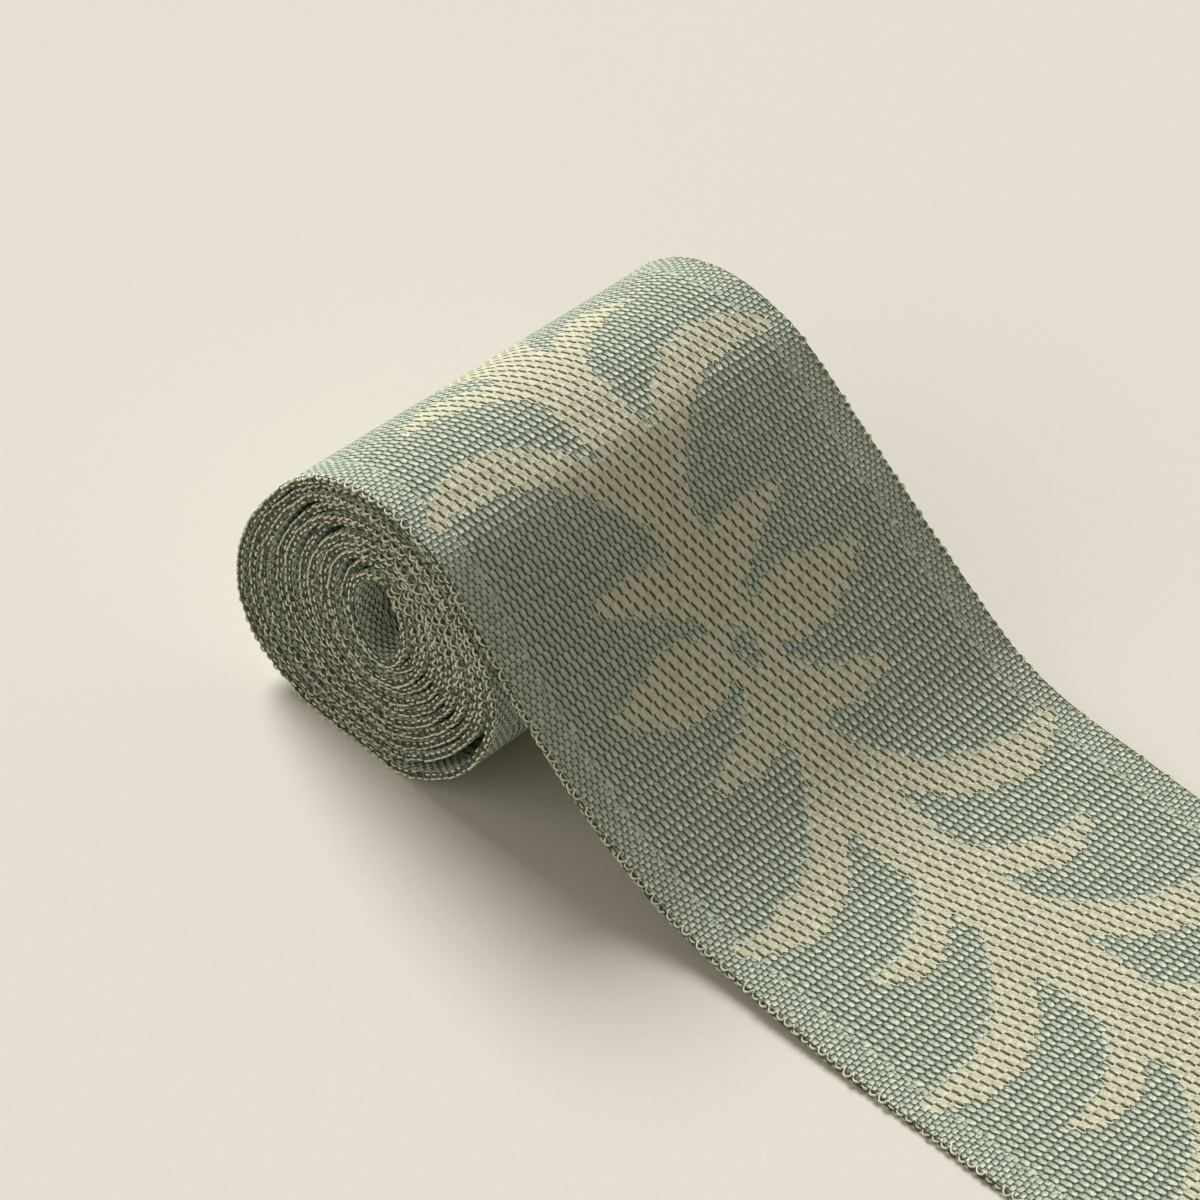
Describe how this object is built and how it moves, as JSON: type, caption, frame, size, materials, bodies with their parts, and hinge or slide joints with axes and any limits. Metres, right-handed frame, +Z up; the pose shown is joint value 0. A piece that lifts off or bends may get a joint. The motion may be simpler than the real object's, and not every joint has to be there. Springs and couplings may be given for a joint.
{
  "type": "tape trim",
  "caption": "Woven jacquard tape wound into an oval roll on its side, its loose end coming off the top of the roll, down to the surface and out flat.",
  "frame": {"origin": "centre of the bounding box's base, on the surface that the roll and the loose end lie on", "axes": "+X along the loose end, away from the roll; +Y across the tape, along the roll's axis; +Z up"},
  "size_m": [0.1788, 0.0795, 0.0482],
  "materials": {
    "woven_tape": "matt jacquard weave, pale sage ground with dark gaps and a cream leaf pattern",
    "woven_tape_end": "the same weave, on the loose end"
  },
  "bodies": {
    "root": {"wound_roll": "woven_tape", "loose_end": "woven_tape_end"}
  },
  "joints": []
}
